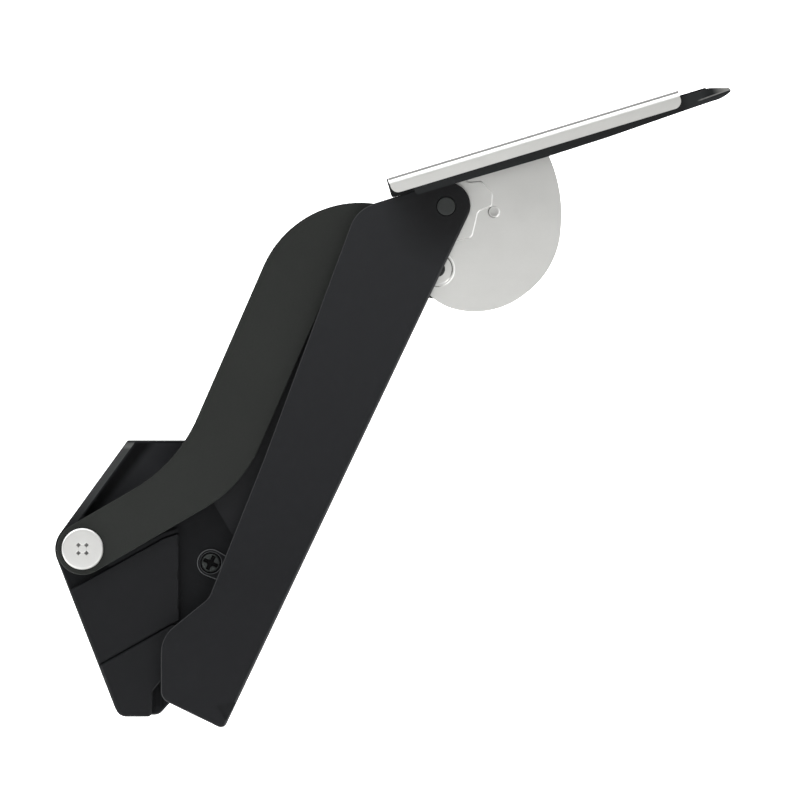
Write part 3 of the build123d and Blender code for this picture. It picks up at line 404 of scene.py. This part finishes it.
# Bushes: pale acetal rings in the three pivots, which let steel turn quietly on steel.
# Acetal is waxy, with a soft mottle and fine turning marks.
acetal, tree, place = blank_finish("natural_acetal")
wax_mm = 1.5
wax = add(tree, "ShaderNodeTexNoise", {
    "Vector": place.outputs["Object"], "Scale": 1000 / wax_mm, "Detail": 3.0,
})
waxy = add(tree, "ShaderNodeMix", {
    "Factor": wax, 6: linear("#CFCCC0"), 7: linear("#E2DFD4"),
}, data_type="RGBA")
marks = add(tree, "ShaderNodeBump", {"Height": wax, "Strength": 0.1, "Distance": 0.00003})
skin = add(tree, "ShaderNodeBsdfPrincipled", {
    "Base Color": waxy, "Roughness": 0.4, "IOR": 1.48, "Normal": marks,
})
add(tree, "ShaderNodeOutputMaterial", {"Surface": skin})
for name in ("shaft_bush", "rear_bush", "disc_bush"):
    dress(name, acetal)

# Front lever: 2 mm steel sheet folded into a channel along its right edge, powder coated near
# black. The coat is satin, a touch blue, with a faint orange peel and a painted highlight on its
# bevels.
satin_coat, tree, place, _, bevel, tone, shader = dark_skin(
    "satin_powder_coat", "#0F1012", "#121316", "#2F3031",
    roughness=0.42, grain_mm=0.9, relief=0.2, specular=0.17)
rail_u = Vector((0.957319, 0.0, 0.289032))
rail_n = Vector((-0.289032, 0.0, 0.957319))
pivot_at = Vector((0.1364, 0.0, 0.12855))
here = place.outputs["Object"]
# The coat is painted paler towards the top, and painted dark round the upper pivot as the rail's
# shadow.
height = add(tree, "ShaderNodeSeparateXYZ", {"Vector": here})
up_the_lever = add(tree, "ShaderNodeMapRange", {
    "Value": height.outputs["Z"], "From Min": -0.01, "From Max": 0.13,
})
field = add(tree, "ShaderNodeMath", {0: 1.0, 1: bevel}, operation="SUBTRACT")
lit_field = add(tree, "ShaderNodeMath", {0: up_the_lever, 1: field}, operation="MULTIPLY")
lit_from_above = add(tree, "ShaderNodeMix", {
    "Factor": lit_field, 6: tone, 7: linear("#1E1F21"),
}, data_type="RGBA")
from_pivot = add(tree, "ShaderNodeVectorMath", {0: here, 1: tuple(pivot_at)}, operation="SUBTRACT")
flat = add(tree, "ShaderNodeVectorMath", {0: from_pivot, 1: (1.0, 0.0, 1.0)}, operation="MULTIPLY")
off_pivot = add(tree, "ShaderNodeVectorMath", {0: flat}, operation="LENGTH")
rail_shadow = add(tree, "ShaderNodeMapRange", {
    "Value": off_pivot, "From Min": 0.024, "From Max": 0.008, "To Max": 0.72,
})
shadowed_coat = add(tree, "ShaderNodeMix", {
    "Factor": rail_shadow, 6: lit_from_above, 7: linear("#060607"),
}, data_type="RGBA")
tree.links.new(shadowed_coat.outputs[2], shader.inputs["Base Color"])
dress("front_lever", satin_coat)
dress("lever_shaft", satin_coat)

# Pins, sleeve, rods and roller: free-cutting steel, turned and left bare, or plated dark where
# they show. Turned steel is a soft grey metal with no colour of its own.
turned_steel = metal("turned_steel", "#8B8D8F", "#A6A8AA", roughness=0.34, bloom_mm=1.5)[0]
for name in ("crank_pin", "crank_roller", "rivet_sleeve", "spring_guides", "damper_rod"):
    dress(name, turned_steel)
dark_rivet = metal(
    "dark_zinc_rivet", "#232625", "#2A2D2C", roughness=0.5, bloom_mm=1.5,
    metallic=0.3, turned_at=(136.4, 128.55))[0]
dress("top_rivet", dark_rivet)
dark_pin = metal(
    "phosphated_pin", "#1C1E1E", "#242626", roughness=0.55, bloom_mm=1.0, metallic=0.3)[0]
dress("link_pin", dark_pin)
dress("release_pin", dark_pin)

# Rear lever: a swan-neck blank of 3 mm steel with a matt, slightly greenish powder coat.
# It is duller and lighter than the front lever, and its coat hides all but a fine peel.
# Its painted bevel highlight is set to its own middle tone.
matt_coat = dark_skin(
    "matt_powder_coat", "#1B1D1B", "#202220", "#1E201E",
    roughness=0.6, grain_mm=0.8, relief=0.15, specular=0.2)[0]
dress("rear_lever", matt_coat)


# Spring pack: two closed-end coil springs of oiled carbon steel between a carriage and its seat.
# It works behind the covers; only the tension screw's end shows, in the case's lower left wall.
def open_tree(name, inputs):
    # A Geometry Nodes tree with a named input for each size.
    tree = bpy.data.node_groups.new(name, "GeometryNodeTree")
    for in_out in ("INPUT", "OUTPUT"):
        tree.interface.new_socket(name="Geometry", in_out=in_out, socket_type="NodeSocketGeometry")
    for size, value in inputs.items():
        kind = "NodeSocketFloat" if isinstance(value, float) else "NodeSocketVector"
        given = tree.interface.new_socket(name=size, in_out="INPUT", socket_type=kind)
        given.default_value = value
    return tree, add(tree, "NodeGroupInput").outputs


def made_by(tree, name, inputs):
    # The tree's inputs are set by identifier, and its result becomes a plain mesh.
    holder = bpy.data.objects.new(name, bpy.data.meshes.new(name + "_seed"))
    bpy.context.scene.collection.objects.link(holder)
    work = holder.modifiers.new("tree", "NODES")
    work.node_group = tree
    for item in tree.interface.items_tree:
        if item.in_out == "INPUT" and item.name in inputs:
            work[item.identifier] = inputs[item.name]
    bpy.context.view_layer.update()
    ready = holder.evaluated_get(bpy.context.evaluated_depsgraph_get())
    plain = bpy.data.meshes.new_from_object(ready)
    holder.modifiers.remove(work)
    holder.data = plain
    plain.name = name
    return holder


spring_steel = metal(
    "oiled_spring_steel", "#4A4D50", "#606468", roughness=0.32, bloom_mm=1.0)[0]
sizes = {"Wire": 0.0016, "Coil Radius": 0.0034, "Length": 0.0573, "Turns": 17.0, "Spread": 0.0198}
coils, given = open_tree("coil_springs", sizes)
wire, turns = given["Wire"], given["Turns"]
helix = add(coils, "GeometryNodeCurveSpiral", {
    "Resolution": 28, "Rotations": turns, "Start Radius": given["Coil Radius"],
    "End Radius": given["Coil Radius"], "Height": 0.0,
})
along = add(coils, "GeometryNodeSplineParameter")
turn = add(coils, "ShaderNodeMath", {0: along, 1: turns}, operation="MULTIPLY")
last_turn = add(coils, "ShaderNodeMath", {0: turns, 1: 1.0}, operation="SUBTRACT")
# The first and the last turn are closed: each rises by one wire only.
dead = add(coils, "ShaderNodeMath", {0: wire, 1: 2.0}, operation="MULTIPLY")
live = add(coils, "ShaderNodeMath", {0: given["Length"], 1: dead}, operation="SUBTRACT")
first = add(coils, "ShaderNodeMapRange", {
    "Value": turn, "From Min": 0.0, "From Max": 1.0, "To Max": wire,
})
middle = add(coils, "ShaderNodeMapRange", {
    "Value": turn, "From Min": 1.0, "From Max": last_turn, "To Max": live,
})
final = add(coils, "ShaderNodeMapRange", {
    "Value": turn, "From Min": last_turn, "From Max": turns, "To Max": wire,
})
low_part = add(coils, "ShaderNodeMath", {0: first, 1: middle}, operation="ADD")
rise = add(coils, "ShaderNodeMath", {0: low_part, 1: final}, operation="ADD")
lift = add(coils, "ShaderNodeCombineXYZ", {"Z": rise})
wound = add(coils, "GeometryNodeSetPosition", {"Geometry": helix, "Offset": lift})
half = add(coils, "ShaderNodeMath", {0: wire, 1: 0.5}, operation="MULTIPLY")
round_wire = add(coils, "GeometryNodeCurvePrimitiveCircle", {"Resolution": 14, "Radius": half})
drawn = add(coils, "GeometryNodeCurveToMesh", {
    "Curve": wound, "Profile Curve": round_wire, "Fill Caps": True,
})
step = add(coils, "ShaderNodeCombineXYZ", {"X": given["Spread"]})
pair = add(coils, "GeometryNodeMeshLine", {
    "Count": 2, "Start Location": (0.0, 0.0, 0.0), "Offset": step,
})
both = add(coils, "GeometryNodeInstanceOnPoints", {"Points": pair, "Instance": drawn})
real = add(coils, "GeometryNodeRealizeInstances", {"Geometry": both})
oiled = add(coils, "GeometryNodeSetMaterial", {"Geometry": real, "Material": spring_steel})
add(coils, "NodeGroupOutput", {"Geometry": oiled})

pack_u = Vector((0.871214, 0.0, 0.490904))
pack_v = Vector((-0.490904, 0.0, 0.871214))
shaft_at = Vector((0.0675, 0.0, 0.026))
seat_reach, pack_shift, coil_depth, foot_length = 0.07085, 0.0264, 0.0072, 0.0224
start = shaft_at - pack_u * seat_reach - pack_v * pack_shift - Vector((0, coil_depth, 0))
pack_axes = Matrix((pack_v, pack_v.cross(pack_u) * -1, pack_u)).transposed().to_4x4()
# Both ends move on different joints, so the pair is cut square at a plane that stands still.
still = start + pack_u * foot_length
for name, foot in (("spring_feet", True), ("spring_pair", False)):
    piece = made_by(coils, name, sizes)
    piece.data.transform(Matrix.Translation(start) @ pack_axes)
    mesh = bmesh.new()
    mesh.from_mesh(piece.data)
    cut = bmesh.ops.bisect_plane(
        mesh, geom=mesh.verts[:] + mesh.edges[:] + mesh.faces[:],
        plane_co=still, plane_no=pack_u, clear_outer=foot, clear_inner=not foot)
    open_ends = [part for part in cut["geom_cut"] if isinstance(part, bmesh.types.BMEdge)]
    bmesh.ops.holes_fill(mesh, edges=open_ends)
    mesh.to_mesh(piece.data)
    mesh.free()
    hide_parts("springs")
    if foot:
        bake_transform(piece)
    else:
        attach(piece, "housing_body")
        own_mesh(piece)
dress("shaft_ring", spring_steel)
dress("release_spring", spring_steel)
# Its third colour is a painted highlight on the bevels.
carriage_skin = dark_skin(
    "grey_glass_nylon", "#4A4C4F", "#585A5D", "#626467",
    roughness=0.55, grain_mm=0.5, relief=0.25, specular=0.3)[0]
dress("carriage", carriage_skin)
dress("spring_seat", carriage_skin)
dress("tension_screw", zinc_plate)
tube_steel = metal("drawn_steel_tube", "#7C7F83", "#94979A", roughness=0.3, bloom_mm=4.0)[0]
dress("damper_body", tube_steel)

# Flap bracket: 2 mm steel sheet, folded to a rail with a large ear, and nickel plated.
# The plating is satin and even; the fold carries a painted highlight, brighter than the flats,
# up to a painted dark line along its upper edge.
nickel, tree, place, colour, shader = metal(
    "satin_nickel_plate", "#C9C9C6", "#D3D3D0", roughness=0.36, bloom_mm=14.0,
    metallic=0.75, rolled_mm=0.5)
look = place.outputs["Normal"]
from_pivot = add(tree, "ShaderNodeVectorMath", {
    0: place.outputs["Object"], 1: tuple(pivot_at),
}, operation="SUBTRACT")
across = add(tree, "ShaderNodeVectorMath", {
    0: from_pivot, 1: tuple(rail_n),
}, operation="DOT_PRODUCT")
along = add(tree, "ShaderNodeVectorMath", {
    0: from_pivot, 1: tuple(rail_u),
}, operation="DOT_PRODUCT")
on_ear = add(tree, "ShaderNodeMapRange", {"Value": across, "From Min": 0.006, "From Max": 0.004})
lean = add(tree, "ShaderNodeSeparateXYZ", {"Vector": look})
facing = add(tree, "ShaderNodeMath", {0: lean.outputs["Y"]}, operation="ABSOLUTE")
off_face = add(tree, "ShaderNodeMapRange", {"Value": facing, "From Min": 0.99, "From Max": 0.96})
# On the rail the painted highlight goes on what looks up.
# On the ear it goes on the raised pad's walls that look up or to the right, made less metallic
# there.
ear_side = add(tree, "ShaderNodeVectorMath", {
    0: look, 1: (0.75, 0.0, 0.66),
}, operation="DOT_PRODUCT")
light_facing = add(tree, "ShaderNodeMix", {0: on_ear, 2: lean.outputs["Z"], 3: ear_side})
painted_highlight = add(tree, "ShaderNodeMapRange", {"Value": light_facing, "From Min": 0.05, "From Max": 0.2})
fold = add(tree, "ShaderNodeMath", {0: off_face, 1: painted_highlight}, operation="MULTIPLY")
# The plating is painted darker towards the rail's free end, as painted shade.
shade_along_rail = add(tree, "ShaderNodeMapRange", {
    "Value": along, "From Min": 0.0, "From Max": 0.095, "To Max": 0.16,
})
plated = add(tree, "ShaderNodeMix", {
    "Factor": shade_along_rail, 6: colour, 7: linear("#8A8A88"),
}, data_type="RGBA")
fold_highlight = add(tree, "ShaderNodeMix", {
    "Factor": fold, 6: plated, 7: linear("#EDEDEB"),
}, data_type="RGBA")
ear_highlight = add(tree, "ShaderNodeMath", {0: fold, 1: on_ear}, operation="MULTIPLY")
highlight_metallic = add(tree, "ShaderNodeMapRange", {"Value": ear_highlight, "To Min": 0.75, "To Max": 0.1})
tree.links.new(highlight_metallic.outputs["Result"], shader.inputs["Metallic"])
# The ear's walls that look down or left get painted shade, and so does a thin line on the rail's
# upper edge.
faces_away = add(tree, "ShaderNodeMapRange", {"Value": light_facing, "From Min": -0.05, "From Max": -0.3})
ear_wall = add(tree, "ShaderNodeMath", {0: on_ear, 1: off_face}, operation="MULTIPLY")
ear_wall_shade = add(tree, "ShaderNodeMath", {0: faces_away, 1: ear_wall}, operation="MULTIPLY")
wall_shade_tone = add(tree, "ShaderNodeMix", {
    "Factor": ear_wall_shade, 6: fold_highlight, 7: linear("#6A6A68"),
}, data_type="RGBA")
at_top = add(tree, "ShaderNodeMapRange", {
    "Value": across, "From Min": 0.01545, "From Max": 0.0156,
})
on_fold = add(tree, "ShaderNodeMapRange", {"Value": facing, "From Min": 0.01, "From Max": 0.03})
upper_edge = add(tree, "ShaderNodeMath", {0: at_top, 1: on_fold}, operation="MULTIPLY")
edge_shade_tone = add(tree, "ShaderNodeMix", {
    "Factor": upper_edge, 6: wall_shade_tone, 7: linear("#828281"),
}, data_type="RGBA")
tree.links.new(edge_shade_tone.outputs[2], shader.inputs["Base Color"])
dress("flap_bracket", nickel)
dress("link_washer", zinc_plate)

# Adjusting screws: two zinc-plated pan heads with cross recesses that draw the clamping plate to
# the rail. They are cold formed like the black screw, and sit in the plate's counterbores.
screw_top, screw_recess, screw_radius, thread_radius = 6.05, 0.9, 3.2, 2.0
slot_half, slot_reach, slot_heart = 0.45, 2.0, 1.3
screw_pitch, screw_seat, screw_depth = 0.060, 0.0164, 0.0316


def small_front(x, y):
    arms = max(min(abs(x), abs(y)) - slot_half, max(abs(x), abs(y)) - slot_reach)
    heart = abs(x) + abs(y) - slot_heart
    return screw_top - screw_recess * (1 - soft_step(min(arms, heart), -0.12, 0.08))


rings = [(0.16 * i, small_front) for i in range(1, 15)]
rings += [
    (2.6, 6.04), (2.85, 5.95), (3.05, 5.75), (screw_radius, 5.4), (screw_radius, 4.35),
    (thread_radius, 4.35), (thread_radius, 0.5), (1.7, 0.2),
]
head = turned_head("adjusting_screw", rings, screw_top - screw_recess, steps=64)
one_screw = bpy.data.objects.new("adjusting_screw", head)
row_sizes = {
    "Start": Vector((0, 0, 0)),
    "Pitch": rail_u * screw_pitch,
    "Turn": Vector((0, math.atan2(-rail_n.x, -rail_n.z), 0)),
}
screws, given = open_tree("screw_row", row_sizes)
row = add(screws, "GeometryNodeMeshLine", {
    "Count": 2, "Start Location": given["Start"], "Offset": given["Pitch"],
})
part = add(screws, "GeometryNodeObjectInfo", {"Object": one_screw}, transform_space="ORIGINAL")
turned_over = add(screws, "FunctionNodeEulerToRotation", {"Euler": given["Turn"]})
set_in = add(screws, "GeometryNodeInstanceOnPoints", {
    "Points": row, "Instance": part.outputs["Geometry"], "Rotation": turned_over,
})
real = add(screws, "GeometryNodeRealizeInstances", {"Geometry": set_in})
plated = add(screws, "GeometryNodeSetMaterial", {"Geometry": real, "Material": zinc_plate})
add(screws, "NodeGroupOutput", {"Geometry": plated})

adjusters = made_by(screws, "adjusting_screws", row_sizes)
bpy.data.objects.remove(one_screw)
adjusters_at = pivot_at + rail_n * screw_seat - Vector((0, screw_depth, 0))
adjusters.data.transform(Matrix.Translation(adjusters_at))
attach(adjusters, "bracket_body")
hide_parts("plate_screws")

# Clamping plate and release lever: moulded nylon under the rail, with a fine matt grain.
# The lever's bevels, finger hollow and ridge get painted highlights, its bar painted shade; the
# plate is darker.
latch_skin, tree, place, facing, _, tone, shader = dark_skin(
    "latch_nylon", "#17191A", "#1B1D1E", "#1C1E1F",
    roughness=0.45, grain_mm=0.35, relief=0.2, specular=0.22)
from_pivot = add(tree, "ShaderNodeVectorMath", {
    0: place.outputs["Object"], 1: tuple(pivot_at),
}, operation="SUBTRACT")
rail_run = add(tree, "ShaderNodeVectorMath", {
    0: from_pivot, 1: tuple(rail_u),
}, operation="DOT_PRODUCT")
# The bar under the rail is painted darker towards its free end, as shade under the flange.
bar_shade = add(tree, "ShaderNodeMapRange", {"Value": rail_run, "From Min": -0.02, "From Max": 0.09})
before_nose = add(tree, "ShaderNodeMapRange", {
    "Value": rail_run, "From Min": 0.099, "From Max": 0.096,
})
shaded_bar = add(tree, "ShaderNodeMath", {0: bar_shade, 1: before_nose}, operation="MULTIPLY")
bar_tone = add(tree, "ShaderNodeMix", {
    "Factor": shaded_bar, 6: tone, 7: linear("#0D0F10"),
}, data_type="RGBA")
# The hollow gets a painted highlight where it leans back along the rail, above the ridge that ends
# it below.
tilt = add(tree, "ShaderNodeVectorMath", {
    0: place.outputs["Normal"], 1: tuple(rail_u),
}, operation="DOT_PRODUCT")
towards = add(tree, "ShaderNodeMapRange", {"Value": tilt, "From Min": 0.2, "From Max": -0.35})
hollow_end = add(tree, "ShaderNodeMapRange", {
    "Value": rail_run, "From Min": 0.1035, "From Max": 0.1105,
})
open_side = add(tree, "ShaderNodeMapRange", {"Value": facing, "From Min": 0.6, "From Max": 0.8})
lit_wall = add(tree, "ShaderNodeMath", {0: towards, 1: hollow_end}, operation="MULTIPLY")
lit_hollow_wall = add(tree, "ShaderNodeMath", {0: lit_wall, 1: open_side}, operation="MULTIPLY")
over_ridge = add(tree, "ShaderNodeVectorMath", {
    0: from_pivot, 1: tuple(rail_n - rail_u * 0.05),
}, operation="DOT_PRODUCT")
above = add(tree, "ShaderNodeMapRange", {
    "Value": over_ridge, "From Min": 0.00525, "From Max": 0.00555,
})
in_hollow = add(tree, "ShaderNodeMath", {0: lit_hollow_wall, 1: above}, operation="MULTIPLY")
hollow_highlight = add(tree, "ShaderNodeMix", {
    "Factor": in_hollow, 6: bar_tone, 7: linear("#878784"),
}, data_type="RGBA")
# The ridge itself gets a painted highlight too, as a fine line, and all under it stays dark.
off_ridge = add(tree, "ShaderNodeMath", {0: over_ridge, 1: 0.00547}, operation="SUBTRACT")
ridge_gap = add(tree, "ShaderNodeMath", {0: off_ridge}, operation="ABSOLUTE")
on_ridge = add(tree, "ShaderNodeMapRange", {
    "Value": ridge_gap, "From Min": 0.00034, "From Max": 0.00014,
})
ridge_run = add(tree, "ShaderNodeMapRange", {
    "Value": rail_run, "From Min": 0.1015, "From Max": 0.105,
})
ridge_here = add(tree, "ShaderNodeMath", {0: on_ridge, 1: ridge_run}, operation="MULTIPLY")
ridge_highlight = add(tree, "ShaderNodeMix", {
    "Factor": ridge_here, 6: hollow_highlight, 7: linear("#8A8A88"),
}, data_type="RGBA")
tree.links.new(ridge_highlight.outputs[2], shader.inputs["Base Color"])
dress("release_lever", latch_skin)
# Its third colour is a painted highlight on the bevels.
plate_skin = dark_skin(
    "plate_nylon", "#101112", "#141516", "#1A1B1C",
    roughness=0.5, grain_mm=0.35, relief=0.2, specular=0.1)[0]
dress("flap_plate", plate_skin)

# Studio: a pale floor and backdrop in one sweep, and soft light from above, the front, the left
# and, weaker, the right. None of it is part of the fitting.
paper, tree, place = blank_finish("white_paper")
fibre = add(tree, "ShaderNodeTexNoise", {
    "Vector": place.outputs["Object"], "Scale": 60.0, "Detail": 2.0,
})
white = add(tree, "ShaderNodeMix", {
    "Factor": fibre, 6: linear("#FBFBFB"), 7: linear("#FFFFFF"),
}, data_type="RGBA")
sheet = add(tree, "ShaderNodeBsdfPrincipled", {
    "Base Color": white, "Roughness": 0.9,
    "Emission Color": linear("#FFFFFF"), "Emission Strength": 0.8,
})
add(tree, "ShaderNodeOutputMaterial", {"Surface": sheet})

floor_z, wall_y, sweep_radius, sweep_steps = -0.125, 0.45, 0.25, 16
profile = [(-1.2, floor_z)]
for i in range(sweep_steps + 1):
    turn = math.radians(90 * i / sweep_steps)
    y = wall_y - sweep_radius + sweep_radius * math.sin(turn)
    profile.append((y, floor_z + sweep_radius - sweep_radius * math.cos(turn)))
profile.append((wall_y, 1.4))
points = [(x, y, z) for x in (-1.5, 1.5) for y, z in profile]
count = len(profile)
faces = [(i, i + 1, count + i + 1, count + i) for i in range(count - 1)]
mesh = bpy.data.meshes.new("studio_sweep")
mesh.from_pydata(points, [], faces)
mesh.materials.append(paper)
for face in mesh.polygons:
    face.use_smooth = True
sweep = bpy.data.objects.new("studio_sweep", mesh)
bpy.context.scene.collection.objects.link(sweep)

world = bpy.data.worlds.new("studio_air")
world.use_nodes = True
air = world.node_tree.nodes["Background"].inputs
air["Color"].default_value = (1.0, 1.0, 1.0, 1.0)
air["Strength"].default_value = 0.3
bpy.context.scene.world = world

aim = Vector((0.12, -0.02, 0.055))
for name, spot, wide, high, power in (
    ("key_softbox", (-0.50, -0.75, 0.80), 0.45, 0.45, 4.0),
    ("top_strip", (0.10, -0.42, 0.95), 0.9, 0.3, 3.8),
    ("left_strip", (-0.95, -0.45, 0.25), 0.3, 0.6, 1.2),
    ("front_fill", (0.25, -1.05, 0.36), 0.9, 0.9, 1.04),
    ("right_rim", (0.9, -0.25, 0.5), 0.5, 0.5, 0.8),
    ("backdrop_wash", (0.1, 0.05, 0.95), 1.2, 1.2, 1.0),
):
    lamp = bpy.data.lights.new(name, "AREA")
    lamp.shape = "RECTANGLE"
    lamp.size = wide
    lamp.size_y = high
    lamp.energy = power
    holder = bpy.data.objects.new(name, lamp)
    holder.location = spot
    holder.rotation_euler = (aim - Vector(spot)).to_track_quat("-Z", "Y").to_euler()
    bpy.context.scene.collection.objects.link(holder)

# Camera: square on to the fitting from inside the cabinet, with no perspective, as in the
# photograph. Its picture is 0.3 m wide.
lens = bpy.data.cameras.new("photo_camera")
lens.type = "ORTHO"
lens.ortho_scale = 0.3
camera = bpy.data.objects.new("photo_camera", lens)
camera.location = (0.11906, -0.9, 0.055875)
camera.rotation_euler = (math.radians(90), 0, 0)
bpy.context.scene.collection.objects.link(camera)
bpy.context.scene.camera = camera
bpy.context.scene.view_settings.view_transform = "Standard"
